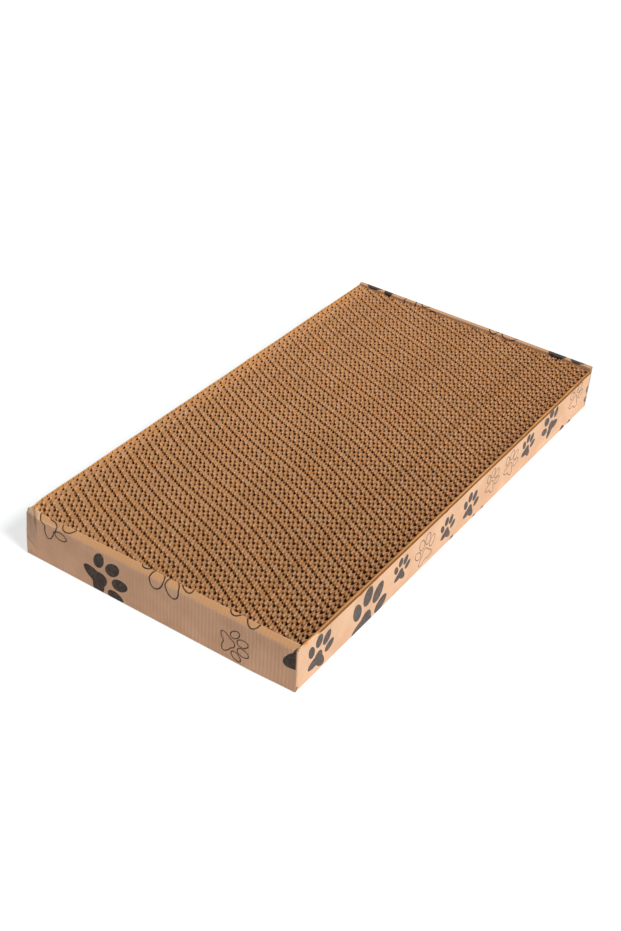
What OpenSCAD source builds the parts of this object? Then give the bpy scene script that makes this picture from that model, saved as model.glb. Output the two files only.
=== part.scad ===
// Cardboard cat scratcher. A pad of double-wall corrugated strips, glued side by side
// with their flutes upright, stands in a shallow tray folded from one sheet of board.
// Millimetres. X runs across the pad, Y along it, Z up, origin under the middle of the tray.

/* [Pad] */
// Number of board strips in the pad
strip_count = 42; // [12:1:48]
// Length of a strip, which is the length of the pad
strip_l = 469; // [240:1:640]
// Height of a strip, which is the depth of board that a cat can wear down
strip_h = 40.5; // [20:0.5:70]

/* [Double-wall board of the pad] */
// Thickness of each of the three flat liners
liner_t = 0.35; // [0.25:0.05:0.6]
// Height of the fine fluting between its two liners
fine_flute_h = 2.1; // [1.5:0.1:3]
// Length of one wave of the fine fluting
fine_pitch = 5.87; // [5:0.01:7]
// Height of the coarse fluting between its two liners
coarse_flute_h = 2.8; // [2.2:0.1:4.5]
// Length of one wave of the coarse fluting
coarse_pitch = 8.1; // [7:0.01:10]
// Thickness of the glue line between a flute's crest and the next liner
glue_t = 0.05; // [0.03:0.01:0.15]

/* [Tray] */
// Thickness of the tray's single-wall board
board_t = 1.5; // [1:0.1:3]
// Height of the rolled end walls above the pad
rim_rise = 2; // [0:0.5:8]
// Depth of the long walls' top edge below the top of the pad
side_drop = 4.5; // [1:0.5:10]
// Length of the four flaps that turn from the long walls into the end walls
flap_l = 72; // [20:1:110]
// Outer radius of the folds along the base and at the corners
fold_r = 1.3; // [0.5:0.1:2]
// Height of the leaning band at the top of the near end wall
near_band_h = 4; // [1.5:0.1:6]
// Height of the rounded top of the far end wall
far_band_h = 1.4; // [0.8:0.1:3]
// Distance from each end panel's side edges in to the outside of the long walls
panel_inset = 0.6; // [0:0.1:2]

/* [Clearances] */
// Gap between the pad and each long wall
pad_side_clear = 0.55; // [0.3:0.05:3]
// Gap between the pad and each end wall
pad_end_clear = 0.7; // [0.3:0.05:3]
// Gap on each side of a corner flap inside its end wall
flap_clear = 0.15; // [0.1:0.05:0.5]

/* [Hidden] */
strip_t = 3 * liner_t + fine_flute_h + coarse_flute_h;
pad_w = strip_count * strip_t;
end_t = 3 * board_t + 2 * flap_clear;
tray_w = pad_w + 2 * (pad_side_clear + board_t);
tray_l = strip_l + 2 * (pad_end_clear + end_t);
end_h = board_t + strip_h + rim_rise;
side_h = board_t + strip_h - side_drop;
half_w = tray_w / 2;
half_l = tray_l / 2;
// Outer faces of the corner flaps lie this far from the middle
flap_y = half_l - board_t - flap_clear;
// Length of base that is drawn together with each end wall
end_lead = 2 * end_t;
// Points along each quarter of a fold
fold_steps = 4;
// Width of an end wall's band as a share of the wall's thickness
near_band_share = 0.7;
far_band_share = 0.3;
// How far the waves of each strip lag behind those of its neighbour, in shares of a wave
coarse_lag_share = 0.37;
fine_lag_share = 0.41;
// Slow swing of that lag across the pad, in shares of a wave
lag_swing_share = 0.45;
lag_swing_turns = 1.3;

function strip_name(i) = str("strip_", i < 10 ? "0" : "", i);

// Where the waves of strip i start, as a share of one wave
function lag(i, step_share) =
    let (swing = lag_swing_share * sin(360 * lag_swing_turns * i / strip_count),
         turns = step_share * i + swing)
    turns - floor(turns);

// Points on an arc with half axes rx and ry about a centre
function arc(centre, rx, ry, from, to) =
    [for (k = [0:fold_steps])
        let (a = from + (to - from) * k / fold_steps)
        centre + [rx * cos(a), ry * sin(a)]];

// Outline of one liner with its fluting: the waves rise from the liner towards the next one
module fluted_outline(root_x, crest_x, back_x, pitch, start_share) {
    wave_count = ceil(strip_l / pitch) + 2;
    start_y = (start_share - 1) * pitch - strip_l / 2;
    waves = [for (k = [0:2 * wave_count])
        [k % 2 == 0 ? root_x : crest_x, start_y + k * pitch / 2]];
    end_y = start_y + wave_count * pitch;
    intersection() {
        polygon(concat(waves, [[back_x, end_y], [back_x, start_y]]));
        translate([back_x, -strip_l / 2])
            square([crest_x - back_x, strip_l]);
    }
}

// One strip of double-wall board: liner, fine waves, liner, coarse waves, liner
module pad_strip(i) {
    left_x = (i - 1) * strip_t - pad_w / 2;
    fine_root = left_x + liner_t;
    middle_x = fine_root + fine_flute_h;
    coarse_root = middle_x + liner_t;
    last_x = coarse_root + coarse_flute_h;
    color(i % 2 == 0 ? "peru" : "burlywood")
    translate([0, 0, board_t])
    linear_extrude(strip_h) {
        fluted_outline(fine_root, middle_x - glue_t, left_x, fine_pitch, lag(i, fine_lag_share));
        fluted_outline(coarse_root, last_x - glue_t, middle_x, coarse_pitch, lag(i, coarse_lag_share));
        translate([last_x, -strip_l / 2])
            square([liner_t, strip_l]);
    }
}

// Base, the two single long walls and the flaps that turn from them at the corners
module base_and_sides() {
    intersection() {
        union() {
            rotate([90, 0, 0])
            linear_extrude(2 * flap_y, center = true)
            difference() {
                polygon(concat(
                    [[-half_w, side_h]],
                    arc([-half_w + fold_r, fold_r], fold_r, fold_r, 180, 270),
                    arc([half_w - fold_r, fold_r], fold_r, fold_r, 270, 360),
                    [[half_w, side_h]]));
                translate([-half_w + board_t, board_t])
                    square([tray_w - 2 * board_t, end_h]);
            }
            for (x = [0, 1], y = [0, 1])
                mirror([x, 0, 0])
                mirror([0, y, 0])
                translate([half_w - flap_l, -flap_y, board_t + flap_clear])
                    cube([flap_l, board_t, side_h - board_t - flap_clear]);
        }
        linear_extrude(side_h)
        polygon(concat(
            arc([half_w - fold_r, flap_y - fold_r], fold_r, fold_r, 0, 90),
            arc([fold_r - half_w, flap_y - fold_r], fold_r, fold_r, 90, 180),
            arc([fold_r - half_w, fold_r - flap_y], fold_r, fold_r, 180, 270),
            arc([half_w - fold_r, fold_r - flap_y], fold_r, fold_r, 270, 360)));
    }
}

// End wall: an outer panel, the band over its top and the inner panel, round a pocket for the flaps
module end_wall(band_h, band_share) {
    band_in = band_share * end_t;
    inner_r = board_t / 2;
    panel_w = tray_w - 2 * panel_inset;
    inner_w = tray_w - 2 * (board_t + flap_clear);
    difference() {
        translate([-panel_w / 2, -half_l, 0])
        rotate([90, 0, 90])
        linear_extrude(panel_w)
        polygon(concat(
            arc([fold_r, fold_r], fold_r, fold_r, 270, 180),
            arc([band_in, end_h - band_h], band_in, band_h, 180, 90),
            arc([end_t - inner_r, end_h - inner_r], inner_r, inner_r, 90, 0),
            [[end_t, board_t + flap_clear],
             [end_t - board_t, board_t + flap_clear],
             [end_t - board_t, end_h - board_t],
             [board_t, end_h - max(band_h, board_t)],
             [board_t, board_t],
             [end_lead, board_t],
             [end_lead, 0]]));
        // The inner panel is narrower than the outer one, to pass between the long walls
        for (side = [-1, 1])
            translate([side > 0 ? inner_w / 2 : -tray_w / 2, board_t - half_l, board_t])
                cube([(tray_w - inner_w) / 2, end_lead, side_h + flap_clear - board_t]);
    }
}

// The whole tray, one die-cut sheet folded up
module tray() {
    color("sandybrown")
    union() {
        base_and_sides();
        end_wall(near_band_h, near_band_share);
        mirror([0, 1, 0])
            end_wall(far_band_h, far_band_share);
    }
}

tray();
for (i = [1:strip_count])
    pad_strip(i);
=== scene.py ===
import math
import random
import bmesh
import bpy
from mathutils import Matrix, Vector


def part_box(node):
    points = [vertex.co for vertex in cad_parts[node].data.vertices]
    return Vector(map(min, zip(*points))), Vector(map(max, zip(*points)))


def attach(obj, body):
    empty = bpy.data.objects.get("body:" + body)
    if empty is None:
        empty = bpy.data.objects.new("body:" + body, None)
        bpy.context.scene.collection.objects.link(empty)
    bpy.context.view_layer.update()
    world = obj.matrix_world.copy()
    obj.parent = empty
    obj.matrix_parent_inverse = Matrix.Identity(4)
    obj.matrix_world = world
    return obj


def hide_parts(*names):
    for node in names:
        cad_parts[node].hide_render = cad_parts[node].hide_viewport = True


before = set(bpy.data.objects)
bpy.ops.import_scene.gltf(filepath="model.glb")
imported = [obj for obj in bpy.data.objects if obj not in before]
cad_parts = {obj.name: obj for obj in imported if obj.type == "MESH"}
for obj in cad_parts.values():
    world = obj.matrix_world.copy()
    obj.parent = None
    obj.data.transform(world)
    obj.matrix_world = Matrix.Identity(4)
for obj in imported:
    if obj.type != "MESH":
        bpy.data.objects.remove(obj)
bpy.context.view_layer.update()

# Blender works in metres, and millimetres are written as so many mm
mm = 0.001
stripNames = sorted(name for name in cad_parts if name.startswith("strip_"))
print("frame loaded,", len(stripNames), "strips")


# Camera, floor and light

view = {
    "azimuth": 31.9,
    "elevation": 35.3,
    "roll": 4.1,
    "distance": 1174 * mm,
    "target": (-4.1 * mm, -29.2 * mm, 22 * mm),
    "focalPixels": 1401.5,
    "imageHeight": 931,
    "sensor": 36.0,
    "clipEnd": 20,
}

light = {
    "keyAzimuth": 80,
    "keyElevation": 46,
    "keyStrength": 3.75,
    "keyTint": (0.955, 1.02, 1.03),
    "keySoftness": 14,
    "skyStrength": 0.10,
    "skyTint": (1.0, 0.95, 0.93),
    "skySeen": (1.0, 1.0, 1.0),
    "floorBounce": (0.755, 0.675, 0.66),
    "floorSeen": (0.30, 0.30, 0.30),
    "floorGlow": 0.75,
    "floorSize": 6.0,
}


def direction(azimuth, elevation):
    # The azimuth turns from the near end towards the right wall
    az, el = math.radians(azimuth), math.radians(elevation)
    return Vector((math.sin(az) * math.cos(el), -math.cos(az) * math.cos(el), math.sin(el)))


def linked(name, data):
    obj = bpy.data.objects.new(name, data)
    bpy.context.scene.collection.objects.link(obj)
    return obj


def makeCamera(v):
    back = direction(v["azimuth"], v["elevation"])
    roll = math.radians(v["roll"])
    right = Vector((0, 0, 1)).cross(back).normalized()
    up = back.cross(right)
    turnedRight = right * math.cos(roll) + up * math.sin(roll)
    turnedUp = up * math.cos(roll) - right * math.sin(roll)
    data = bpy.data.cameras.new("camera")
    data.sensor_width = v["sensor"]
    data.lens = v["focalPixels"] * v["sensor"] / v["imageHeight"]
    data.clip_end = v["clipEnd"]
    camera = linked("camera", data)
    place = Matrix((turnedRight, turnedUp, back)).transposed().to_4x4()
    place.translation = Vector(v["target"]) + back * v["distance"]
    camera.matrix_world = place
    bpy.context.scene.camera = camera


class Term:
    # One output of a node tree. Sums and products of terms add the nodes that work them out.
    def __init__(self, tree, socket):
        self.tree = tree
        self.socket = socket

    def node(self, kind, settings=None, inputs=None, output=0):
        made = self.tree.nodes.new(kind)
        for key, value in (settings or {}).items():
            setattr(made, key, value)
        for key, value in (inputs or {}).items():
            if isinstance(value, Term):
                self.tree.links.new(value.socket, made.inputs[key])
            else:
                made.inputs[key].default_value = value
        return Term(self.tree, made.outputs[output] if made.outputs else None)

    def maths(self, operation, *others):
        return self.node("ShaderNodeMath", {"operation": operation}, dict(enumerate((self, *others))))

    def __add__(self, other):
        return self.maths("ADD", other)

    def __sub__(self, other):
        return self.maths("SUBTRACT", other)

    def __mul__(self, other):
        return self.maths("MULTIPLY", other)

    def __truediv__(self, other):
        return self.maths("DIVIDE", other)

    def __rsub__(self, other):
        return self.node("ShaderNodeMath", {"operation": "SUBTRACT"}, {0: other, 1: self})

    def __abs__(self):
        return self.maths("ABSOLUTE")

    def ramp(self, low, high):
        # A soft rise from nothing at the first value to one at the second
        return self.node("ShaderNodeMapRange", {"interpolation_type": "SMOOTHSTEP"},
                         {0: self, 1: low, 2: high})

    def hill(self, foot, top, edge, end):
        # Rises from the foot to the top, and falls again from the edge to the end
        return self.ramp(foot, top) * self.ramp(end, edge)

    def within(self, band):
        # Rises from nothing at the band's first value to its third at its second
        low, high, full = band
        return self.ramp(low, high) * full

    def parts(self):
        split = self.tree.nodes.new("ShaderNodeSeparateXYZ")
        self.tree.links.new(self.socket, split.inputs[0])
        return [Term(self.tree, out) for out in split.outputs]

    def mixColours(self, first, second):
        # This term is the share of the second colour
        return self.node("ShaderNodeMix", {"data_type": "RGBA"}, {0: self, 6: first, 7: second}, 2)

    def tinted(self, share, colour):
        # This colour with a share of a plain one over it
        return share.mixColours(self, solid(colour))

    def vector(self, x, y, z):
        return self.node("ShaderNodeCombineXYZ", inputs={0: x, 1: y, 2: z})

    def place(self):
        return self.node("ShaderNodeTexCoord", output="Object")

    def noise(self, place, scale, detail=3.0, roughness=0.55, output=0):
        return self.node("ShaderNodeTexNoise", inputs={
            "Vector": place, "Scale": scale, "Detail": detail, "Roughness": roughness}, output=output)


def solid(colour):
    return (*colour, 1)


def newMaterial(name):
    material = bpy.data.materials.new(name)
    material.use_nodes = True
    tree = material.node_tree
    tree.nodes.clear()
    return material, Term(tree, None)


def rays(start, *kinds):
    # One for rays of the given kinds, nothing for others
    path = start.tree.nodes.new("ShaderNodeLightPath")
    seen = Term(start.tree, path.outputs[kinds[0]])
    for kind in kinds[1:]:
        seen = seen.maths("MAXIMUM", Term(start.tree, path.outputs[kind]))
    return seen


def paperSurface(start, colour, height, look):
    # Ends a material with a plain surface that has a fine relief
    roughness, shine, strength, distance = look
    relief = start.node("ShaderNodeBump", inputs={
        "Strength": strength, "Distance": distance, "Height": height})
    surface = start.node("ShaderNodeBsdfPrincipled", inputs={
        "Base Color": colour, "Roughness": roughness, "Specular IOR Level": shine, "Normal": relief})
    start.node("ShaderNodeOutputMaterial", inputs={0: surface})


def sky(v):
    # The camera and mirrors see it white, and it lights the rest dimly
    world = bpy.data.worlds.new("studio")
    bpy.context.scene.world = world
    world.use_nodes = True
    tree = world.node_tree
    tree.nodes.clear()
    start = Term(tree, None)
    seen = rays(start, "Is Camera Ray", "Is Glossy Ray", "Is Transmission Ray")
    around = start.node("ShaderNodeBackground", inputs={0: solid(v["skyTint"]), 1: v["skyStrength"]})
    white = start.node("ShaderNodeBackground", inputs={0: solid(v["skySeen"]), 1: 1.0})
    both = start.node("ShaderNodeMixShader", inputs={0: seen, 1: around, 2: white})
    start.node("ShaderNodeOutputWorld", inputs={0: both})


def keyLight(v):
    data = bpy.data.lights.new("key", "SUN")
    data.energy = v["keyStrength"]
    data.color = v["keyTint"]
    data.angle = math.radians(v["keySoftness"])
    lamp = linked("key", data)
    towards = direction(v["keyAzimuth"], v["keyElevation"])
    lamp.rotation_euler = towards.to_track_quat("Z", "Y").to_euler()


def floor(v):
    # The camera sees it paler than it lights the tray
    half = v["floorSize"] / 2
    mesh = bpy.data.meshes.new("floor")
    mesh.from_pydata([(-half, -half, 0), (half, -half, 0), (half, half, 0), (-half, half, 0)], [],
                     [(0, 1, 2, 3)])
    obj = linked("floor", mesh)
    material, start = newMaterial("paleFloor")
    seen = rays(start, "Is Camera Ray")
    matt = start.node("ShaderNodeBsdfDiffuse", inputs={0: solid(v["floorBounce"])})
    pale = start.node("ShaderNodeBsdfDiffuse", inputs={0: solid(v["floorSeen"])})
    glow = start.node("ShaderNodeEmission", inputs={0: solid(v["skySeen"]), 1: v["floorGlow"]})
    lifted = start.node("ShaderNodeAddShader", inputs={0: pale, 1: glow})
    both = start.node("ShaderNodeMixShader", inputs={0: seen, 1: matt, 2: lifted})
    start.node("ShaderNodeOutputMaterial", inputs={0: both})
    mesh.materials.append(material)


bpy.context.scene.view_settings.view_transform = "Standard"
makeCamera(view)
sky(light)
keyLight(light)
floor(light)
print("camera and light placed")


# Pad: strips of double-wall board, each three liners with two waved mediums between them

padBoard = {
    "liner": 0.25 * mm,
    "medium": 0.2 * mm,
    "fineHeightShare": 0.40,
    "squareness": 0.12,
    "finePitch": 5.87 * mm,
    "fineSteps": 7,
    "coarsePitch": 8.1 * mm,
    "coarseSteps": 12,
    "linerStep": 4.8 * mm,
    "coarseLag": 0.37,
    "fineLag": 0.41,
    "lagSwing": 0.45,
    "lagTurns": 1.3,
    # Wear of the top edges, from this share of the height up. A scale is how often a metre it varies,
    # and the shifts are by strip, by ply and by kind of wear.
    "wornFrom": 0.86,
    "wander": 0.35 * mm,
    "wanderScale": 18,
    "fray": 0.16 * mm,
    "frayScale": 160,
    "frayShifts": (3.7, 1.3, 5.0),
    "unevenTop": 0.35 * mm,
    "unevenScale": 90,
    "unevenShifts": (2.1, 0.7, 9.0),
    "noiseGain": 4,
    "waveDrop": 0.25 * mm,
    "wornCorner": (-124 * mm, -233 * mm),
    "wornRadius": 13 * mm,
    "wornFade": (1.0, 0.25),
    "wornDepth": 2.6 * mm,
    "wornScale": 420,
    "wornShove": 0.7,
    "wornLeast": 0.2,
    "splay": 1.3 * mm,
    "splayLift": 0.8 * mm,
    "splayed": (108 * mm, 124.5 * mm),
    "smoothTo": 50,
    "turnsAdded": 200.0,
    "toneSeed": 3,
    # Where the pad's own faces lie
    "outerFace": 123.6 * mm,
    "outerFade": 0.2 * mm,
    "endFade": (234.3 * mm, 232.5 * mm),
    "halfHeight": 20.25 * mm,
    "middle": 21.75 * mm,
    # Colours
    "paperDark": (0.49, 0.228, 0.089),
    "paperLight": (0.74, 0.377, 0.17),
    "dust": (0.30, 0.135, 0.052),
    "cutDark": (0.385, 0.189, 0.08),
    "cutLight": (0.66, 0.345, 0.16),
    "waveCut": (0.34, 0.17, 0.07),
    # Painted light for the cells' walls, then painted shade for their corners and depths
    "paintedInnerLight": (0.90, 0.50, 0.25),
    "cellCornerShade": (0.13, 0.042, 0.009),
    "cellShade": (0.09, 0.03, 0.010),
    "outerDark": (0.57, 0.255, 0.072),
    "outerLight": (0.73, 0.35, 0.112),
    # Patterns: scales, then where each tint sets in, where it is full, and its full share
    "cloudScale": 24.0,
    "cellScale": 210.0,
    "fibreScale": 1900.0,
    "tints": (((0.35, 0.7, 0.4), (0.69, 0.276, 0.086)), ((0.5, 0.6, 0.6), (0.69, 0.42, 0.285)),
              ((0.52, 0.62, 0.6), (0.69, 0.276, 0.086)), ((0.54, 0.64, 0.3), (0.60, 0.37, 0.10)),
              ((0.45, 0.75, 0.2), (0.74, 0.377, 0.17))),
    "soft": (0.3, 0.7),
    "cutFacing": (0.55, 0.9),
    "cutShare": 0.85,
    "waveCutShare": 0.35,
    "sideFacing": (0.7, 0.85),
    "nearDust": (60 * mm, -200 * mm, 0.24),
    # Painted shade in the cells' corners, painted light a little down their walls and painted shade deeper
    # down: stretches of a wave's turn, faces and depths
    "closing": (-0.02, 0.16, 0.55, 0.63),
    "closingShare": 0.85,
    "turning": (0.0, 0.12, 0.46, 0.56),
    "turnedAway": (-0.1, -0.4, -0.74, -0.86),
    "nearCornerShade": (220 * mm, -120 * mm, 0.32),
    "farCornerShade": 0.68,
    "cornerDepth": (0.0, 0.6 * mm),
    "paintedLightDepth": (0.8 * mm, 2.4 * mm, 0.5),
    "deepDepth": (4.5 * mm, 9.5 * mm),
    # Roughness, shine, and the strength and depth of the relief
    "look": (0.93, 0.18, 0.25, 0.2 * mm),
}


def padBoardMaterial(b):
    material, start = newMaterial("cutBoard")
    place = start.place()
    x, y, z = place.parts()
    across, _, upward = start.node("ShaderNodeNewGeometry", output="Normal").parts()
    tone = start.node("ShaderNodeAttribute", {"attribute_name": "tone"}, output="Fac")
    clouds = start.noise(place, b["cloudScale"], 3.0)
    cells = start.noise(place, b["cellScale"], 2.0, output=1).parts()
    fibres = start.noise(place, b["fibreScale"], 3.0, 0.6)
    paper = tone.mixColours(solid(b["paperDark"]), solid(b["paperLight"]))
    for field, (band, colour) in zip((clouds, *cells, fibres), b["tints"]):
        paper = paper.tinted(field.within(band), colour)
    # A wave's sawn edge is darker than a liner's, and painted shade darkens the cut edges where a wave turns
    # from the light and where it closes in on its liner
    wave = start.node("ShaderNodeAttribute", {"attribute_name": "wave"}, output="Fac")
    phase = start.node("ShaderNodeAttribute", {"attribute_name": "turns"}, output="Fac").maths("FRACT")
    closing = phase.hill(*b["closing"]) * (1 - wave)
    turning = phase.hill(*b["turning"]) * wave
    # How strong the painted shade of the cells is, stronger towards the near end
    strength = y.within(b["nearCornerShade"]) + b["farCornerShade"]
    cut = fibres.ramp(*b["soft"]).mixColours(solid(b["cutDark"]), solid(b["cutLight"]))
    cut = cut.tinted(wave * b["waveCutShare"], b["waveCut"])
    # Painted shade on the cut edges where a wave turns or closes in
    cut = cut.tinted((turning + closing * b["closingShare"]) * strength, b["cellCornerShade"])
    facingUp = upward.ramp(*b["cutFacing"])
    paper = (facingUp * b["cutShare"]).mixColours(paper, cut)
    # The near end is dustier and browner than the far one
    paper = paper.tinted(y.within(b["nearDust"]), b["dust"])
    # Painted shade where a wave closes in on its liner or turns away from the light, and painted light a
    # little down the walls for the light that shines back and forth
    depth = b["halfHeight"] - abs(z - b["middle"])
    sideways = abs(across).ramp(*b["sideFacing"])
    outer = abs(x).ramp(b["outerFace"] - b["outerFade"], b["outerFace"]) * sideways
    inside = (1 - outer) * abs(y).ramp(*b["endFade"])
    # Painted shade on wave faces turned away from the light
    turnedAway = across.hill(*b["turnedAway"]) * wave
    corner = (closing * across.ramp(*b["soft"])).maths("MAXIMUM", turnedAway)
    corner = corner * depth.ramp(*b["cornerDepth"]) * inside
    # Painted light a little down the walls, where the cells are in shade
    paintedLight = depth.within(b["paintedLightDepth"]) * inside * (1 - facingUp)
    paper = paper.tinted(paintedLight, b["paintedInnerLight"])
    # Painted shade in the cells' corners
    paper = paper.tinted(corner * strength, b["cellCornerShade"])
    # Painted shade further down the cells
    deep = depth.ramp(*b["deepDepth"]) * inside
    shaded = start.node("ShaderNodeMix", {"data_type": "RGBA", "blend_type": "MULTIPLY"},
                        {0: 1.0, 6: paper, 7: solid(b["cellShade"])}, 2)
    colour = deep.mixColours(paper, shaded)
    # The outer liners are browner than the papers inside
    brown = clouds.ramp(*b["soft"]).mixColours(solid(b["outerDark"]), solid(b["outerLight"]))
    paperSurface(start, outer.mixColours(colour, brown), fibres, b["look"])
    return material


def corrugatedTree(material, b):
    # Builds one strip from flat boxes whose points are moved onto waves
    tree = bpy.data.node_groups.new("corrugatedStrip", "GeometryNodeTree")
    # The first nine are set for each strip
    sockets = {
        "Left": 0.0, "Width": 0.0, "Near": 0.0, "Length": 0.0, "Bottom": 0.0, "Height": 0.0,
        "Fine Start": 0.0, "Coarse Start": 0.0, "Seed": 0,
        "Liner": b["liner"], "Medium": b["medium"], "Fine Share": b["fineHeightShare"],
        "Fine Pitch": b["finePitch"], "Coarse Pitch": b["coarsePitch"],
        "Wander": b["wander"], "Fray": b["fray"], "Uneven Top": b["unevenTop"],
        "Wave Drop": b["waveDrop"], "Splay": b["splay"], "Splay Lift": b["splayLift"],
        "Worn X": b["wornCorner"][0], "Worn Y": b["wornCorner"][1],
        "Worn Radius": b["wornRadius"], "Worn Depth": b["wornDepth"],
    }
    for name, value in sockets.items():
        kind = "NodeSocketInt" if name == "Seed" else "NodeSocketFloat"
        tree.interface.new_socket(name, in_out="INPUT", socket_type=kind).default_value = value
    tree.interface.new_socket("Geometry", in_out="OUTPUT", socket_type="NodeSocketGeometry")
    group = tree.nodes.new("NodeGroupInput")
    given = {name: Term(tree, group.outputs[name]) for name in sockets}
    start = Term(tree, None)
    seed, liner, medium = given["Seed"], given["Liner"], given["Medium"]
    cell = given["Width"] - liner * 3
    fineHeight = cell * given["Fine Share"]
    coarseHeight = cell - fineHeight

    def kept(geometry, name, value):
        return start.node("GeometryNodeStoreNamedAttribute", {"data_type": "FLOAT", "domain": "POINT"},
                          {"Geometry": geometry, "Name": name, "Value": value})

    def ply(index, centre, swing, pitch, begin, thickness, steps):
        box = start.node("GeometryNodeMeshCube", inputs={
            "Size": (1, 1, 1), "Vertices X": 2, "Vertices Y": steps, "Vertices Z": 4})
        side, along, up = start.node("GeometryNodeInputPosition").parts()
        y = given["Near"] + given["Length"] * (along + 0.5)
        # The upper three of the box's four rows of points lie close together, in the part that wears
        raised = up + 0.5
        worn = b["wornFrom"]
        above = (raised - 1 / 3).maths("MAXIMUM", 0.0) * (1.5 * (1 - worn)) + worn
        share = (raised * (3 * worn)).maths("MINIMUM", above)
        topward = share.ramp(worn, 1.0)
        # A wave pressed between its liners keeps its length, so its flanks stand steeper than a sine's
        turn = (y / pitch + begin) * (2 * math.pi)
        square = b["squareness"]
        size = swing * (1 / (1 - square))
        wave = (turn.maths("COSINE") - (turn * 3).maths("COSINE") * square) * size
        slope = ((turn * 3).maths("SINE") * (3 * square) - turn.maths("SINE")) * size * (2 * math.pi) / pitch
        stretch = (slope * slope + 1).maths("SQRT")
        half = side * thickness

        def ragged(scale, shifts, detail):
            # Noise along the ply, another stretch of it for each ply of each strip
            byStrip, byPly, layer = shifts
            return start.noise(start.vector(y * scale, seed * byStrip + index * byPly, layer), 1.0, detail)

        # Slow wander shared with the neighbours, and a finer one of this ply alone
        wide = b["wanderScale"]
        shared = start.noise(start.vector(centre * wide, y * wide, 0.0), 1.0, 2.0)
        own = ragged(b["frayScale"], b["frayShifts"], 2.0)
        tall = ragged(b["unevenScale"], b["unevenShifts"], 3.0)
        gain = b["noiseGain"]
        drift = (shared - 0.5) * given["Wander"] * gain + (own - 0.5) * given["Fray"] * gain
        # The worn corner, where the top edges are pressed down and out of line
        farX, farY = centre - given["Worn X"], y - given["Worn Y"]
        far = (farX * farX + farY * farY).maths("SQRT") / given["Worn Radius"]
        hurt = far.ramp(*b["wornFade"])
        close, least = b["wornScale"], b["wornLeast"]
        tatter = start.noise(start.vector(y * close, centre * close, 2.0), 1.0, 2.0)
        drift = drift + (tatter - 0.5) * hurt * given["Worn Depth"] * b["wornShove"]
        pressed = hurt * (tatter * (1 - least) + least) * given["Worn Depth"]
        lower = (tall * given["Uneven Top"] + pressed) * topward
        # Over the long walls the tops lean outwards, the left ones raised and the right ones pressed down
        splayed = abs(centre).ramp(*b["splayed"]) * topward
        outwards = splayed * centre.maths("SIGN") * given["Splay"]
        x = centre + wave + half / stretch + drift * topward + outwards
        lower = lower + outwards / given["Splay"] * given["Splay Lift"]
        newY = y - half * slope / stretch
        newY = newY.maths("MINIMUM", given["Near"] + given["Length"]).maths("MAXIMUM", given["Near"])
        isWave = 1.0 if index in (1, 3) else 0.0
        z = given["Bottom"] + given["Height"] * share - lower - topward * given["Wave Drop"] * isWave
        # Turns are kept before the points move, while their own y still runs evenly along the strip
        turns = turn / (2 * math.pi) + b["turnsAdded"]
        counted = kept(box, "turns", turns)
        moved = start.node("GeometryNodeSetPosition", inputs={
            "Geometry": counted, "Position": start.vector(x, newY, z)})
        grey = start.node("FunctionNodeRandomValue", {"data_type": "FLOAT"}, {
            2: 0.0, 3: 1.0, 7: seed * 5 + index, 8: b["toneSeed"]}, output=1)
        return kept(kept(moved, "tone", grey), "wave", isWave)

    left, length = given["Left"], given["Length"]
    fine, coarse = given["Fine Pitch"], given["Coarse Pitch"]
    fineStart, coarseStart = given["Fine Start"], given["Coarse Start"]
    linerSteps = length / b["linerStep"]
    fineSteps = length / fine * b["fineSteps"] + 1
    coarseSteps = length / coarse * b["coarseSteps"] + 1
    middle = left + liner * 1.5 + fineHeight
    plies = [
        ply(0, left + liner / 2, 0.0, fine, fineStart, liner, linerSteps),
        ply(1, left + liner + fineHeight / 2, (fineHeight - medium) / 2, fine, fineStart, medium, fineSteps),
        ply(2, middle, 0.0, coarse, coarseStart, liner, linerSteps),
        ply(3, middle + liner / 2 + coarseHeight / 2, (coarseHeight - medium) / 2,
            coarse, coarseStart, medium, coarseSteps),
        ply(4, left + given["Width"] - liner / 2, 0.0, 1.0, 0.0, liner, linerSteps),
    ]
    join = tree.nodes.new("GeometryNodeJoinGeometry")
    for one in plies:
        tree.links.new(one.socket, join.inputs[0])
    real = start.node("GeometryNodeRealizeInstances", inputs={0: Term(tree, join.outputs[0])})
    dressed = start.node("GeometryNodeSetMaterial", inputs={"Geometry": real, "Material": material})
    out = tree.nodes.new("NodeGroupOutput")
    tree.links.new(dressed.socket, out.inputs[0])
    return tree


def grownMesh(tree, name, values):
    # Runs the tree on an empty mesh and keeps the result as a plain one
    obj = linked(name, bpy.data.meshes.new(name))
    modifier = obj.modifiers.new("grow", "NODES")
    modifier.node_group = tree
    for item in tree.interface.items_tree:
        if item.in_out == "INPUT" and item.name in values:
            modifier[item.identifier] = values[item.name]
    evaluated = obj.evaluated_get(bpy.context.evaluated_depsgraph_get())
    mesh = bpy.data.meshes.new_from_object(evaluated)
    obj.modifiers.remove(modifier)
    obj.data = mesh
    mesh.name = name
    return obj


def smoothBy(mesh, degrees):
    mesh.shade_smooth()
    mesh.set_sharp_from_angle(angle=math.radians(degrees))


def makePad(b):
    material = padBoardMaterial(b)
    tree = corrugatedTree(material, b)
    for k, name in enumerate(stripNames):
        low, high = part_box(name)
        swing = b["lagSwing"] * math.sin(2 * math.pi * b["lagTurns"] * k / len(stripNames))
        values = {
            "Left": low[0], "Width": high[0] - low[0],
            "Near": low[1], "Length": high[1] - low[1],
            "Bottom": low[2], "Height": high[2] - low[2],
            "Fine Start": (b["fineLag"] * k + swing) % 1.0,
            "Coarse Start": (b["coarseLag"] * k + swing) % 1.0,
            "Seed": k,
        }
        piece = grownMesh(tree, name.replace("strip_", "padStrip"), values)
        smoothBy(piece.data, b["smoothTo"])
        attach(piece, "pad")
        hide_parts(name)


makePad(padBoard)
print("pad made")


# Tray: one sheet of single-wall board folded up, with paws printed on its outside. Here in mm.

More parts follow.
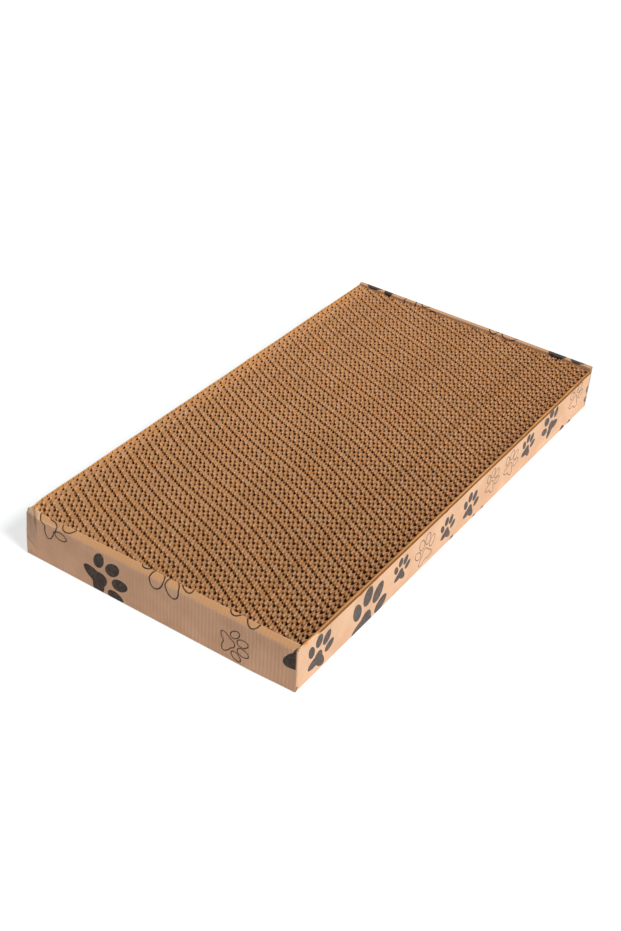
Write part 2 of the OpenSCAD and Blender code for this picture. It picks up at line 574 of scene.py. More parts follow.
trayBoard = {
    "halfWidth": 127.0,
    "halfLength": 240.0,
    "thickness": 1.5,
    # The paper lies this far inside the solids' faces, so the ink film has room
    "skin": 0.08,
    "foldRadius": 1.3,
    "cornerRadius": 2.0,
    "sideTop": 37.5,
    "endTop": 44.0,
    "endThickness": 4.8,
    "endInset": 0.6,
    "flapLength": 72.0,
    "pocketGap": 0.15,
    "nearCrease": 40.0,
    "nearLean": 3.7,
    "farCrease": 42.5,
    "farLean": 1.3,
    # How the top of an end wall is rolled over
    "creaseEase": 0.5,
    "rollRadius": 0.75,
    "innerPanelFrom": 4,
    "bandStep": 1.0,
    # Size of the mesh
    "gridStep": 3.0,
    "tipStep": 6.0,
    "dentedTo": -102.0,
    "dentedStep": 1.2,
    "smoothTo": 32,
    # Wear: how far the board is out of shape
    "wallBow": 0.34,
    "wallDip": 1.0,
    "endBow": 0.35,
    "cornerCrush": 1.9,
    "cornerDent": 0.75,
    "cornerBulge": 0.35,
    "cornerFold": 0.3,
    "rimDip": 1.2,
    "rimWaver": 0.35,
    "cornerRise": 2.0,
    "footPush": 1.3,
    "nickDepth": 1.3,
    # Place along the wall, width and share of the depth of each nick in the right wall's top
    "nicks": ((-157.0, 1.6, 1.0), (107.0, 1.2, 0.8), (-31.0, 2.2, 0.6)),
}


def polar(degrees, distance):
    turn = math.radians(degrees)
    return distance * math.cos(turn), distance * math.sin(turn)


def arcPoints(centre, radius, fromDegrees, toDegrees, steps=5):
    turns = [fromDegrees + (toDegrees - fromDegrees) * k / steps for k in range(steps + 1)]
    return [(centre[0] + a, centre[1] + b) for a, b in (polar(t, radius) for t in turns)]


def between(a, b, step):
    # Points from a to b, without a itself
    count = max(1, round(math.dist(a, b) / step))
    return [(a[0] + (b[0] - a[0]) * k / count, a[1] + (b[1] - a[1]) * k / count)
            for k in range(1, count + 1)]


class Fold:
    # A folded section of board: outer points, the inner point of each, and lengths along the sheet
    def __init__(self, outer, inner, zeroAt, facing=1):
        self.outer = outer
        self.inner = inner
        self.lengths = [0.0]
        for a, b in zip(outer, outer[1:]):
            self.lengths.append(self.lengths[-1] + math.dist(a, b))
        zero = self.lengths[zeroAt[0]] - zeroAt[1]
        self.lengths = [length - zero for length in self.lengths]
        self.normals = []
        for k in range(len(outer)):
            a, b = outer[max(k - 1, 0)], outer[min(k + 1, len(outer) - 1)]
            along = Vector((b[0] - a[0], b[1] - a[1])).normalized()
            self.normals.append((along[1] * facing, -along[0] * facing))

    def at(self, v, lift):
        k = 0
        while k < len(self.lengths) - 2 and self.lengths[k + 1] < v:
            k += 1
        share = (v - self.lengths[k]) / (self.lengths[k + 1] - self.lengths[k])
        (a, b), (c, d) = self.outer[k], self.outer[k + 1]
        (na, nb), (nc, nd) = self.normals[k], self.normals[k + 1]
        normal = Vector((na + (nc - na) * share, nb + (nd - nb) * share)).normalized()
        return a + (c - a) * share + normal[0] * lift, b + (d - b) * share + normal[1] * lift


def channelFold(t):
    # Left wall, base and right wall, in x and z
    w, r, s = t["halfWidth"] - t["skin"], t["foldRadius"], t["skin"]
    inside = t["halfWidth"] - t["thickness"]
    wall = between((w, r), (w, t["sideTop"]), t["gridStep"])
    right = [(w - r, s)] + arcPoints((w - r, s + r), r, -90, 0)[1:] + wall
    base = between((0, s), (w - r, s), t["gridStep"] * 2)[:-1]
    outer = [(0, s)] + base + right
    inner = []
    for x, z in outer:
        if z <= r + s:
            inner.append((min(x, inside), t["thickness"]))
        else:
            inner.append((inside, max(z, t["thickness"] + 0.2)))
    outer = [(-x, z) for x, z in reversed(outer[1:])] + outer
    inner = [(-x, z) for x, z in reversed(inner[1:])] + inner
    corner = next(k for k, p in enumerate(outer) if p[0] > w - 1e-6)
    return Fold(outer, inner, (corner, outer[corner][1]))


def endFold(t, crease, lean):
    # Fold, outer panel, band and inner panel of an end wall, in inset and z
    s, r, thick, top = t["skin"], t["foldRadius"], t["thickness"], t["endTop"] - t["skin"]
    deep = t["endThickness"] - 0.05
    start = t["thickness"] + t["pocketGap"]
    ease, roll = t["creaseEase"], t["rollRadius"]
    folded = [(start, s)] + list(reversed(arcPoints((s + r, s + r), r, 180, 270)))
    corner = len(folded) - 1
    panel = between((s, s + r), (s, crease - ease), t["gridStep"])
    # The band starts and ends a little off its corners, which rounds them
    slope = math.atan2(top - crease, lean)
    bandFoot = (s + 0.28 * math.cos(slope) + 0.1, crease + 0.35)
    topEdge = (s + lean - 0.35, top - 0.12)
    band = [(s + 0.10, crease + 0.05)] + between(bandFoot, topEdge, t["bandStep"])
    over = [(s + lean + 0.15, top)] + [p for p in arcPoints((deep - roll, top - roll), roll, 90, 0)
                                       if p[0] > s + lean + 0.3]
    inward = between(over[-1], (deep, start), t["gridStep"])
    outer = folded + panel + band + over + inward
    inner = []
    turned = len(folded + panel)
    closing = len(folded + panel + band + over)
    for k, (a, z) in enumerate(outer):
        if k < len(folded):
            inner.append((max(a, thick), thick))
        elif k < turned:
            inner.append((thick, min(max(z, thick + 0.1), crease - 0.7)))
        elif k < closing:
            share = (k - turned + 1) / (closing - turned + 1)
            inner.append((thick + (deep - 2 * thick) * share,
                          crease - 0.6 + (top - thick - crease + 0.4) * math.sin(share * math.pi / 2)))
        else:
            inner.append((deep - thick, min(z, top - thick - 0.3)))
    return Fold(outer, inner, (corner, s + r), -1)


def bump(x, centre, width):
    return math.exp(-((x - centre) / width) ** 2)


def rise(x, low, high):
    share = min(max((x - low) / (high - low), 0.0), 1.0)
    return share * share * (3 - 2 * share)


def wornNearEnd(t, x, y, z, atEnd, outward):
    # The left corner is pressed in from the outside
    back = rise(-x, 114.5, 127.0) * rise(z, 12, 42)
    dent = bump(x, -117.0 - 0.9 * max(z - 41, 0), 1.5) * rise(z, 24, 40)
    bulge = bump(x, -113.4, 1.3) * rise(z, 34, 41)
    fold = bump(x * 0.55 + z * 0.835, -55.4, 0.9) * rise(-x, 113, 118)
    crush = t["cornerCrush"] * back + t["cornerDent"] * dent - t["cornerBulge"] * bulge
    y += (crush + t["cornerFold"] * fold) * outward
    # The rim is pressed down at that corner and beside it, and wavers
    z -= t["rimDip"] * rise(-x, 122, 127) * rise(z, 34, 43) * atEnd
    z -= t["rimDip"] * bump(x, -101.0, 11.0) * rise(z, 38, 43) * atEnd
    z -= t["rimWaver"] * (0.5 + 0.5 * math.sin(x / 13)) * rise(z, 40, 44) * atEnd
    # The long wall stands up a little by the right corner, and the end's foot is pushed in there
    stands = rise(-y, 221, 234) * (1 - rise(-y, 237.2, 238.4)) * rise(x, 125.38, 125.48)
    z += t["cornerRise"] * stands * rise(z, 18, 37.5) * (1 - rise(z, 37.55, 38))
    y += t["footPush"] * rise(x, 85, 127) * (1 - 0.6 * rise(z, 10, 40)) * atEnd
    return y, z


def handled(t, x, y, z):
    # Small bends, dents and crushed corners of board that has been handled; prints follow them too
    side = 1 if x > 0 else -1
    end = 1 if y > 0 else -1
    atEnd = rise(abs(y), 233.0, 235.2)
    outward = min(max((abs(y) - t["halfLength"]) / t["endThickness"] + 1, 0.0), 1.0)
    slow = 0.55 + 0.3 * math.sin(y / 47 + 1.3 * side) + 0.15 * math.sin(y / 19 + 0.4)
    bowed = slow * rise(abs(x), 123.0, 125.4) * rise(z, 2, 36) * (1 - rise(abs(y), 215, 236))
    x -= side * t["wallBow"] * bowed
    belly = (0.6 + 0.4 * math.sin(x / 37 + end)) * math.sin(math.pi * min(z / t["endTop"], 1))
    y -= end * t["endBow"] * belly * atEnd * (1 - rise(abs(x), 105, 126))
    if end < 0:
        y, z = wornNearEnd(t, x, y, z, atEnd, outward)
    onRight = rise(x, 124.6, 125.4)
    nick = sum(share * bump(y, at, width) for at, width, share in t["nicks"])
    z -= t["nickDepth"] * nick * rise(z, 31, 37.5) * onRight
    z -= t["wallDip"] * rise(z, 30, 37.5) * onRight * (1 - rise(abs(y), 205, 225))
    x = min(max(x, -t["halfWidth"]), t["halfWidth"])
    y = min(max(y, -t["halfLength"]), t["halfLength"])
    return x, y, max(z, 0.0)


class Blank:
    # Gathers closed board shells in one mesh, with the flat sheet's coordinates kept as a UV map
    def __init__(self, t):
        self.t = t
        self.bm = bmesh.new()
        self.uv = self.bm.loops.layers.uv.new("blank")

    def vertex(self, p):
        return self.bm.verts.new(Vector(handled(self.t, *p)) * mm)

    def face(self, corners, flat, material):
        made = self.bm.faces.new(corners)
        made.material_index = material
        made.smooth = True
        for loop, place in zip(made.loops, flat):
            loop[self.uv].uv = place

    def sheet(self, outer, inner, flat):
        # outer, inner and flat are rows of points; the rows' borders are closed with cut edges
        above = [[self.vertex(p) for p in row] for row in outer]
        below = [[self.vertex(p) for p in row] for row in inner]
        rows, columns = len(outer), len(outer[0])
        for i in range(rows - 1):
            for j in range(columns - 1):
                ring = ((i, j), (i + 1, j), (i + 1, j + 1), (i, j + 1))
                for points, order in ((above, ring), (below, ring[::-1])):
                    self.face([points[a][b] for a, b in order], [flat[a][b] for a, b in order], 0)
        border = ([(i, 0) for i in range(rows)] + [(rows - 1, j) for j in range(1, columns)]
                  + [(i, columns - 1) for i in range(rows - 2, -1, -1)]
                  + [(0, j) for j in range(columns - 2, 0, -1)])
        gone = 0.0
        for (a, b), (c, d) in zip(border, border[1:] + border[:1]):
            step = (above[a][b].co - above[c][d].co).length
            corners = [above[c][d], above[a][b], below[a][b], below[c][d]]
            if len(set(corners)) == 4:
                self.face(corners, [(gone + step, 0), (gone, 0), (gone, 1), (gone + step, 1)], 1)
            gone += step


def spread(low, high, step):
    count = max(1, round((high - low) / step))
    return [low + (high - low) * k / count for k in range(count + 1)]


def makeTrayMesh(t, folds):
    blank = Blank(t)
    channel = folds["channel"]
    wide, long, thick = t["halfWidth"], t["halfLength"], t["thickness"]
    flapStart = long - thick - t["pocketGap"]
    straight = flapStart - t["cornerRadius"]
    rows = spread(-1, 1, t["gridStep"] / straight)
    outer, inner, flat = [], [], []
    for k, (x, z) in enumerate(channel.outer):
        end = straight if z > t["foldRadius"] + 0.3 else flapStart
        outer.append([(x, share * end, z) for share in rows])
        inner.append([(channel.inner[k][0], share * end, channel.inner[k][1]) for share in rows])
        flat.append([(channel.lengths[k] * mm, share * end * mm) for share in rows])
    blank.sheet(outer, inner, flat)

    # The four flaps turn from the long walls into the pockets of the end walls
    heights = [z for x, z in channel.outer if x > wide - 0.2 and z > t["foldRadius"] + 0.3]
    faceX, radius = wide - t["skin"], t["cornerRadius"]
    for sideX in (-1, 1):
        for sideY in (-1, 1):
            turn = arcPoints((faceX - radius, straight), radius, 0, 90, 4)
            tip = between(turn[-1], (faceX - t["flapLength"], flapStart), t["tipStep"])
            path = turn + tip
            inside = wide - thick
            close = [(inside, straight)] + [(min(x, inside), flapStart - thick) for x, y in path[1:]]
            outer = [[(sideX * x, sideY * y, z) for z in heights] for x, y in path]
            inner = [[(sideX * x, sideY * y, z) for z in heights] for x, y in close]
            flat = [[((channel.lengths[-1] + k) * mm, z * mm) for z in heights] for k in range(len(path))]
            blank.sheet(outer, inner, flat)

    # The end walls
    for end, fold in ((-1, folds["near"]), (1, folds["far"])):
        half = wide - t["endInset"]
        columns = spread(-half, half, t["gridStep"] * 0.8)
        if end < 0:
            # Finer where the left corner is dented
            dented = spread(-half, t["dentedTo"], t["dentedStep"])
            columns = dented + [x for x in columns if x > t["dentedTo"]]
        narrow = (wide - thick - t["pocketGap"]) / half
        outer, inner, flat = [], [], []
        for k, ((a, z), (b, low)) in enumerate(zip(fold.outer, fold.inner)):
            folded = a > t["innerPanelFrom"] and z < t["sideTop"]
            across = [x * narrow if folded else x for x in columns]
            outer.append([(x, end * (long - a), z) for x in across])
            inner.append([(x, end * (long - b), low) for x in across])
            flat.append([(x * mm, end * (long + fold.lengths[k]) * mm) for x in columns])
        blank.sheet(outer, inner, flat)
    return blank.bm


# Paws: filled or in outline, laid on the flat sheet and carried round its folds. Here in mm.

paws = {
    "film": 0.05,
    "sunk": 0.10,
    # Widths of outlines on the ends and on the long walls
    "line": 0.95,
    "sideLine": 0.72,
    # Angle, distance, width and length of each toe, and angles and distances round the palm
    "toes": ((141, 15.6, 7.4, 11.8), (106.5, 18.3, 8.5, 12.2), (73.5, 18.3, 8.5, 12.2),
             (39, 15.6, 7.4, 11.8)),
    "toeLean": 0.8,
    "toeTaper": 0.08,
    "toeSteps": 32,
    "palm": ((90, 9.0), (69, 8.2), (45, 7.0), (36, 6.7), (6, 8.8), (-10, 10.8), (-21, 11.6), (-30, 10.9),
             (-40, 8.4), (-66, 4.4), (-90, 3.3)),
    "palmSteps": 60,
    # Across and up on the flat sheet, scale, turn in degrees, filled or in outline
    "right": ((-212, 11.2, 1.03, -21, True), (-148.6, -0.2, 1.52, -22, True),
              (-99, 16, 0.74, -14, True), (-60, 10.4, 0.9, 9, False), (-27.4, 12.1, 0.72, -13, True),
              (10.4, 11.8, 0.81, -18, True), (46.5, 16, 0.75, -30, False), (80, 15.5, 0.8, -30, False),
              (112.2, 16.8, 0.76, -21, True), (162, 16.8, 0.97, 30, True), (207, 20, 0.85, -20, False),
              (254, 10, 1, 40, True), (29, -25.2, 1.19, 0, True), (-17, -17, 0.85, -20, True),
              (193, -26, 1.3, -6, True), (-75, -28, 1, 25, False), (95, -26, 0.9, 160, True)),
    "near": ((-55.6, 10.2, 1.3, -60, True), (67, 16.2, 0.82, -86, False),
             (10.9, 64.3, 1.42, 177.5, False), (84.3, 74.6, 1.42, 170.6, False)),
    "far": ((66, 15, 1, -20, False), (12, 19, 0.9, -20, True), (-44, 14, 1.1, 35, False)),
    # Single marks on their own centres, each with the number of its shape (0 palm, 1 to 4 toes)
    "nearMarks": ((132.6, 31.6, 1.62, 5, True, 0), (-103.2, 38.2, 1.05, -67, False, 0),
                  (-90.2, 33.8, 0.97, -54, False, 4), (-83.3, 45.8, 1.08, -54, False, 3)),
    "farMarks": ((109.5, 42.2, 1.6, 84, True, 2), (93.3, 44.8, 1.15, -13, True, 2),
                 (107, 19, 1.4, 0, True, 0), (67.6, 48.5, 1.45, -13, False, 2),
                 (51.5, 40, 1.35, -13, False, 2), (41.2, 57.5, 1.4, -13, False, 2),
                 (-24.2, 42, 1.25, -13, False, 2), (-41, 44.6, 1.3, 77, False, 2),
                 (-91.7, 45, 1.5, 84, True, 2), (-112, 43.6, 1.25, 77, True, 2),
                 (-98, 19, 1.4, 0, True, 0)),
    # Scattered paws: rows as first, last and step, and the ranges that are drawn from
    "scatterSeed": 11,
    "filledShare": 0.55,
    "leftRow": (-212, 212, 43),
    "leftDraws": ((-6, 6), (4, 22), (0.7, 1.25), (-40, 40)),
    "underRows": (-190, 190, 46.0),
    "underRow": (-70, 70, 46.0),
    "underMiddle": -132,
    "underStretch": 1.1,
    "underStagger": 12,
    "underDraws": ((-8, 8), (-6, 6), (0.75, 1.2), (0, 360)),
    # Radius of the circle that a paw of scale 1 keeps to itself, and its middle's height over the palm's
    "reach": 16.5,
    "middleUp": 8.9,
    # Where the faces' prints end, and the size of the pieces that follow the board's bends
    "margin": 0.05,
    "underTo": -250,
    "leftTo": -60,
    "endSpan": (-1.2, 54),
    "cutStep": 3,
    "smoothTo": 40,
}


def softLoop(points, count):
    # A closed smooth curve in angle and distance through the given points and their mirror images
    mirrored = [(180 - a, r) for a, r in points[1:-1]]
    ring = sorted([(a % 360, r) for a, r in list(points) + mirrored])
    loop = []
    for k in range(count):
        angle = 360 * k / count
        after = next((i for i, p in enumerate(ring) if p[0] > angle), 0)
        four = [ring[(after + o) % len(ring)] for o in (-2, -1, 0, 1)]
        gap = (four[2][0] - four[1][0]) % 360
        s = ((angle - four[1][0]) % 360) / gap
        p0, p1, p2, p3 = (p[1] for p in four)
        r = 0.5 * (2 * p1 + (p2 - p0) * s + (2 * p0 - 5 * p1 + 4 * p2 - p3) * s * s
                   + (3 * p1 - p0 - 3 * p2 + p3) * s ** 3)
        loop.append(polar(angle, r))
    return loop


def pawShapes(p):
    # Each shape is a centre and a loop round it
    shapes = [((0.0, 0.0), softLoop(p["palm"], p["palmSteps"]))]
    for angle, distance, wide, long in p["toes"]:
        centre = polar(angle, distance)
        lean = math.radians(90 + (angle - 90) * p["toeLean"])
        loop = []
        for k in range(p["toeSteps"]):
            turn = 2 * math.pi * k / p["toeSteps"]
            a = long / 2 * math.cos(turn)
            b = wide / 2 * math.sin(turn) * (1 - p["toeTaper"] * math.cos(turn))
            loop.append((centre[0] + a * math.cos(lean) - b * math.sin(lean),
                         centre[1] + a * math.sin(lean) + b * math.cos(lean)))
        shapes.append((centre, loop))
    return shapes


def flatShape(centre, loop, spot, width):
    # A filled or outlined shape at its place on the flat sheet
    u, v, scale, turn, filled = spot[:5]
    c, s = polar(turn, scale)
    origin = centre if len(spot) > 5 else (0.0, 0.0)

    def laid(point):
        across, up = point[0] - origin[0], point[1] - origin[1]
        return Vector((u + across * c - up * s, v + across * s + up * c, 0))

    flat = bmesh.new()
    ring = [laid(q) for q in loop]
    count = len(ring)
    if filled:
        middle = flat.verts.new(laid(centre))
        rim = [flat.verts.new(q) for q in ring]
        for k in range(count):
            flat.faces.new((middle, rim[k], rim[(k + 1) % count]))
        return flat
    rims = []
    line = width * (0.5 + 0.5 * scale)
    for side in (0.5, -0.5):
        offset = []
        for k in range(count):
            along = (ring[(k + 1) % count] - ring[k - 1]).normalized()
            offset.append(flat.verts.new(ring[k] + Vector((along.y, -along.x, 0)) * side * line))
        rims.append(offset)
    for k in range(count):
        after = (k + 1) % count
        flat.faces.new((rims[0][k], rims[0][after], rims[1][after], rims[1][k]))
    return flat


def cutShape(flat, clip, stations, step):
    # Trims a shape to its face, and cuts it at the folds and every few mm
    def cut(at, across, trim):
        everything = flat.verts[:] + flat.edges[:] + flat.faces[:]
        bmesh.ops.bisect_plane(flat, geom=everything, plane_co=at, plane_no=across, clear_outer=trim)

    for corner, sign in zip(clip, (-1, 1)):
        cut((corner[0], 0, 0), (sign, 0, 0), True)
    for corner, sign in zip(clip, (-1, 1)):
        cut((0, corner[1], 0), (0, sign, 0), True)
    if flat.faces:
        (left, right), (low, high) = [
            (min(q.co[k] for q in flat.verts), max(q.co[k] for q in flat.verts)) for k in (0, 1)]
        for at in stations:
            if low < at < high:
                cut((0, at, 0), (0, 1, 0), False)
        for at in range(math.ceil(left / step) * step, math.ceil(right), step):
            cut((at, 0, 0), (1, 0, 0), False)


def addSkin(film, flat, place, p):
    # Carries a cut shape round the folds as a thin closed skin
    top = {q: film.verts.new(Vector(place(q.co.x, q.co.y, p["film"])) * mm) for q in flat.verts}
    bottom = {q: film.verts.new(Vector(place(q.co.x, q.co.y, -p["sunk"])) * mm) for q in flat.verts}
    for face in flat.faces:
        film.faces.new([top[q] for q in face.verts])
        film.faces.new([bottom[q] for q in reversed(face.verts)])
    for edge in flat.edges:
        if edge.is_boundary:
            a, b = edge.verts
            if edge.link_loops[0].vert is not a:
                a, b = b, a
            film.faces.new((top[b], top[a], bottom[a], bottom[b]))


def makePrints(t, p, folds):
    film = bmesh.new()
    shapes = pawShapes(p)
    channel = folds["channel"]
    wallHalf = t["halfLength"] - t["thickness"] - t["pocketGap"] - t["cornerRadius"]
    endHalf = t["halfWidth"] - t["endInset"] - p["margin"]

    def onSide(side):
        def place(u, v, lift):
            x, z = channel.at(v, lift)
            return handled(t, side * x, side * u, z)
        return place

    def onEnd(end, fold):
        def place(u, v, lift):
            a, z = fold.at(v, lift)
            return handled(t, -end * u, end * (t["halfLength"] - a), z)
        return place

    def circled(spot):
        u, v, scale, turn = spot[:4]
        across, up = polar(turn + 90, p["middleUp"] * scale)
        return u + across, v + up, p["reach"] * scale

    def isClear(spot, others):
        u, v, r = circled(spot)
        return all(math.hypot(u - a, v - b) > r + o for a, b, o in map(circled, others))

    draw = random.Random(p["scatterSeed"])

    def drawn(u, v, ranges):
        shiftU, shiftV, size, turn = (draw.uniform(*ends) for ends in ranges)
        return u + shiftU, v + shiftV, size, turn, draw.random() < p["filledShare"]

    left = []
    for u in spread(*p["leftRow"]):
        spot = drawn(u, 0, p["leftDraws"])
        if isClear(spot, left):
            left.append(spot)
    under = []
    for i, y in enumerate(spread(*p["underRows"])):
        for x in spread(*p["underRow"]):
            across = p["underMiddle"] + x * p["underStretch"] + (i % 2) * p["underStagger"]
            spot = drawn(y, across, p["underDraws"])
            if isClear(spot, list(p["right"]) + under):
                under.append(spot)
    sideTop = t["sideTop"] - p["margin"]
    low, high = p["endSpan"]
    endClip = ((-endHalf, low), (endHalf, high))
    layers = [
        (p["right"] + tuple(under), onSide(1), ((-wallHalf, p["underTo"]), (wallHalf, sideTop)),
         channel, p["sideLine"]),
        (left, onSide(-1), ((-wallHalf, p["leftTo"]), (wallHalf, sideTop)), channel, p["sideLine"]),
        (p["near"] + p["nearMarks"], onEnd(-1, folds["near"]), endClip, folds["near"], p["line"]),
        (p["far"] + p["farMarks"], onEnd(1, folds["far"]), endClip, folds["far"], p["line"]),
    ]
    for spots, place, clip, fold, width in layers:
        for spot in spots:
            for centre, loop in ([shapes[spot[5]]] if len(spot) > 5 else shapes):
                flat = flatShape(centre, loop, spot, width)
                cutShape(flat, clip, fold.lengths, p["cutStep"])
                if flat.faces:
                    addSkin(film, flat, place, p)
                flat.free()
    return film


# Finishes of the tray: kraft paper, its cut edges and the dark ink. Tints and looks as on the pad.

kraft = {
    "paper": (0.785, 0.49, 0.315),
    "dusty": (0.83, 0.57, 0.40),
    "dull": (0.68, 0.40, 0.245),
    "band": (0.645, 0.315, 0.135),
    "speck": (0.42, 0.22, 0.11),
    # Painted shade for the bent corner and its creases, and a pale colour for highlights that are partly
    # rubbed
    "bendShade": (0.52, 0.37, 0.27),
    "crease": (0.33, 0.17, 0.08),
    "rubbedAndLit": (0.90, 0.62, 0.38),
    "edgeLight": (0.62, 0.38, 0.21),
    # Painted shade for the edge's open flutes and for the long walls' top edges
    "fluteGapShade": (0.19, 0.095, 0.045),
    "edgeTopShade": (0.20, 0.085, 0.025),
    "ink": (0.050, 0.032, 0.023),
    # The paler ink stands for wear and, on the long walls, for a painted sheen
    "inkWornAndLit": (0.128, 0.104, 0.094),
    "fluteLength": 3.2 * mm,
    "cloudScale": 38.0,
    "clouds": (0.3, 0.72),
    "fibreScales": (2600, 420),
    "lightFibres": (0.45, 0.8, 0.35),
    "dullFibres": (0.5, 0.25, 0.25),
    "speckScales": (1500, 700),
    "specks": (0.68, 0.78, 0.55),
    "patchScale": 55.0,
    "patches": (0.35, 0.65, 0.14),
    "leastFlutes": 0.03,
    "bandShare": 0.85,
    "creaseShadeShare": 0.7,
    "rubbedAndLitShare": 0.5,
    "rubScale": 260.0,
    "rubPatches": (0.35, 0.6, 0.5),
    "paperLook": (0.8, 0.18, 0.5, 0.12 * mm),
    "edgeWaveLength": 3.2,
    "edgeWaveSwing": 0.34,
    "edgeFibreScale": 1400.0,
    "soft": (0.3, 0.7),
    "edgeLook": (0.95, 0.15, 0.6, 0.4 * mm),
    "thinScale": 420.0,
    "thin": (0.42, 0.72),
    "broadScale": 70.0,
    "broad": (0.35, 0.6),
    "dotScale": 1500.0,
    "dots": (0.66, 0.78, 0.5),
    "sideSheen": 0.55,
    "inkLook": (0.6, 0.2, 0.4, 0.1 * mm),
}


def kraftMaterial(k):
    material, start = newMaterial("kraftLiner")
    place = start.place()
    u, v, _ = start.node("ShaderNodeUVMap", {"uv_map": "blank"}).parts()
    clouds = start.noise(place, k["cloudScale"], 4.0, 0.6)
    along, across = k["fibreScales"]
    fibres = start.noise(start.vector(u * along, v * across, 0.0), 1.0, 3.0, 0.6)
    along, across = k["speckScales"]
    specks = start.noise(start.vector(u * along, v * across, 4.0), 1.0, 2.0, 0.5)
    flutes = (u * (2 * math.pi / k["fluteLength"])).maths("SINE")
    colour = clouds.ramp(*k["clouds"]).mixColours(solid(k["dull"]), solid(k["paper"]))
    colour = colour.tinted(fibres.within(k["lightFibres"]), k["dusty"])
    colour = colour.tinted(fibres.within(k["dullFibres"]), k["dull"])
    colour = colour.tinted(specks.within(k["specks"]), k["speck"])
    # The flutes show through, in some places more than in others
    patches = start.noise(place, k["patchScale"], 2.0).within(k["patches"]) + k["leastFlutes"]
    colour = colour.tinted(flutes.ramp(-1.0, 1.0) * patches, k["dull"])
    # From here on in mm. The bands over the ends are browner, but not where the corner is pressed in.
    x, y, z = (side / mm for side in place.parts())
    nearEnd = y.ramp(-234.5, -235.2)
    pressedIn = x.ramp(-114.0, -117.2) * nearEnd
    band = z.ramp(39.6, 40.6) * abs(y).ramp(235.0, 236.2) * (1 - pressedIn * 0.8)
    colour = colour.tinted(band * k["bandShare"], k["band"])
    # That corner gets painted shade where it is bent in and along its creases, a painted highlight beside
    # the upright crease, and a paler spot on its rim
    # Painted shade over the bent-in panel
    colour = colour.tinted(pressedIn * z.within((10, 20, 0.5)), k["bendShade"])
    bend = (z - 26.5) * 0.138 + (z - 41).maths("MAXIMUM", 0.0) * 1.03
    upright = abs(x + 115.5 + bend).ramp(1.3, 0.2) * z.ramp(20, 40)
    slanting = abs(z - 16 + (x + 125) * 0.73).ramp(1.0, 0.2) * x.ramp(-115.0, -118.5)
    creaseShade = upright.maths("MAXIMUM", slanting) * nearEnd
    # Painted shade along the creases
    colour = colour.tinted(creaseShade * k["creaseShadeShare"], k["crease"])
    # A painted highlight beside the upright crease, and a paler spot on the rim
    beside = abs(x + 114.5 + (z - 42) * 0.6).ramp(3.0, 1.0) * z.ramp(36, 41)
    spot = ((x + 123.2) * (x + 123.2) + (z - 42) * (z - 42)).ramp(6.0, 0.8)
    colour = colour.tinted(beside.maths("MAXIMUM", spot) * nearEnd * k["rubbedAndLitShare"], k["rubbedAndLit"])
    # Corners and the foot are rubbed in patches
    corner = abs(y).ramp(237.5, 239.8) * abs(x).ramp(124.0, 126.4)
    rub = (corner + z.within((1.6, 0.2, 0.7))).maths("MINIMUM", 1.0)
    colour = colour.tinted(rub * start.noise(place, k["rubScale"], 3.0).within(k["rubPatches"]), k["dusty"])
    paperSurface(start, colour, fibres * 0.35 + flutes * 0.5 + clouds * 0.8, k["paperLook"])
    return material


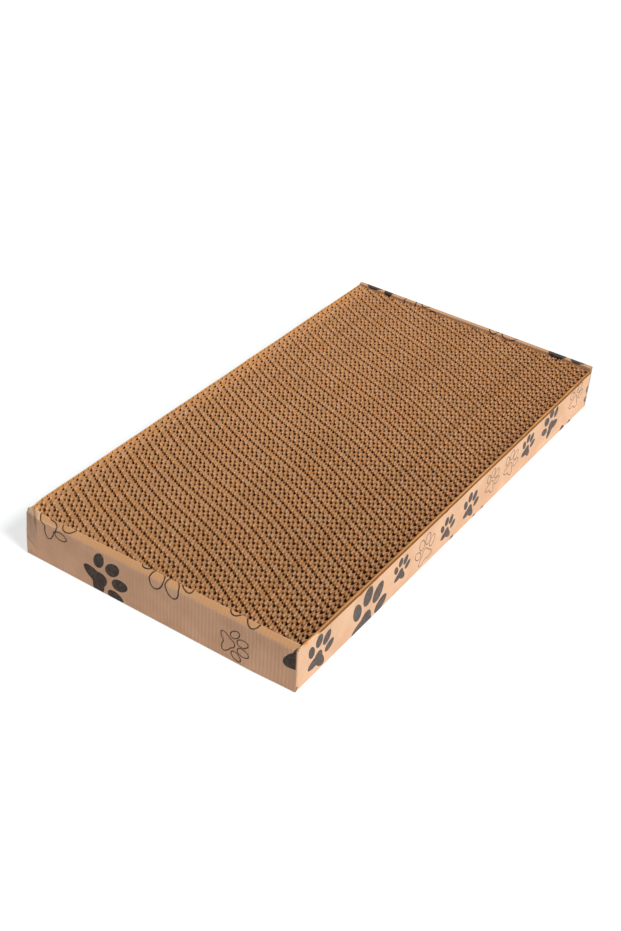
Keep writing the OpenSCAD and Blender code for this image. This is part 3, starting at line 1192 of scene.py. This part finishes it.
def cutEdgeMaterial(k):
    # The raw edge, in shares of its thickness: two pale liners, and between them the medium, which swings
    # very slowly from one to the other round the edge
    material, start = newMaterial("boardEdge")
    u, v, _ = start.node("ShaderNodeUVMap", {"uv_map": "blank"}).parts()
    place = start.place()
    wave = (u * (2 * math.pi / k["edgeWaveLength"])).maths("COSINE") * k["edgeWaveSwing"] + 0.5
    paper = abs(v - wave).ramp(0.16, 0.08).maths("MAXIMUM", abs(v - 0.5).ramp(0.34, 0.42))
    fibres = start.noise(place, k["edgeFibreScale"], 3.0, 0.7)
    light = fibres.ramp(*k["soft"]).mixColours(solid(k["edgeLight"]), solid(k["paper"]))
    # The open flutes between the papers get painted shade
    colour = paper.mixColours(solid(k["fluteGapShade"]), light)
    # Painted shade darkens the long walls' top edges, and a painted highlight makes the right one's paler at
    # the near end, where it is also rubbed
    x, y, _ = (side / mm for side in place.parts())
    up = start.node("ShaderNodeNewGeometry", output="Normal").parts()[2].ramp(0.5, 0.7)
    atTop = abs(x).ramp(125.0, 125.3) * up
    # Painted shade on the long walls' top edges
    colour = colour.tinted(atTop * 0.8, k["edgeTopShade"])
    # Painted highlight, partly rubbed, on the right wall's top edge at the near end
    colour = colour.tinted(atTop * x.ramp(0, 10) * y.ramp(-208, -214), k["rubbedAndLit"])
    paperSurface(start, colour, paper + fibres * 0.3, k["edgeLook"])
    return material


def inkMaterial(k):
    material, start = newMaterial("pawInk")
    place = start.place()
    thin = start.noise(place, k["thinScale"], 4.0, 0.65)
    broad = start.noise(place, k["broadScale"], 2.0)
    dots = start.noise(place, k["dotScale"], 2.0)
    # The ink is worn paler in patches, and the long walls' prints are made paler still by a painted sheen
    onSides = (abs(place.parts()[0]) / mm).ramp(125.9, 126.4)
    rubbedAndLit = thin.ramp(*k["thin"]) * broad.ramp(*k["broad"]) + onSides * k["sideSheen"]
    colour = rubbedAndLit.maths("MINIMUM", 1.0).mixColours(solid(k["ink"]), solid(k["inkWornAndLit"]))
    colour = colour.tinted(dots.within(k["dots"]), k["dull"])
    paperSurface(start, colour, dots, k["inkLook"])
    return material


def pieceFrom(bm, name, materials):
    mesh = bpy.data.meshes.new(name)
    bm.to_mesh(mesh)
    bm.free()
    for material in materials:
        mesh.materials.append(material)
    return linked(name, mesh)


def makeTray(t, p, k):
    folds = {
        "channel": channelFold(t),
        "near": endFold(t, t["nearCrease"], t["nearLean"]),
        "far": endFold(t, t["farCrease"], t["farLean"]),
    }
    shell = makeTrayMesh(t, folds)
    bmesh.ops.recalc_face_normals(shell, faces=shell.faces)
    tray = pieceFrom(shell, "foldedTray", (kraftMaterial(k), cutEdgeMaterial(k)))
    smoothBy(tray.data, t["smoothTo"])
    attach(tray, "tray")
    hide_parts("tray")
    prints = pieceFrom(makePrints(t, p, folds), "pawPrints", (inkMaterial(k),))
    smoothBy(prints.data, p["smoothTo"])
    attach(prints, "tray")


makeTray(trayBoard, paws, kraft)
print("tray and paw prints made")
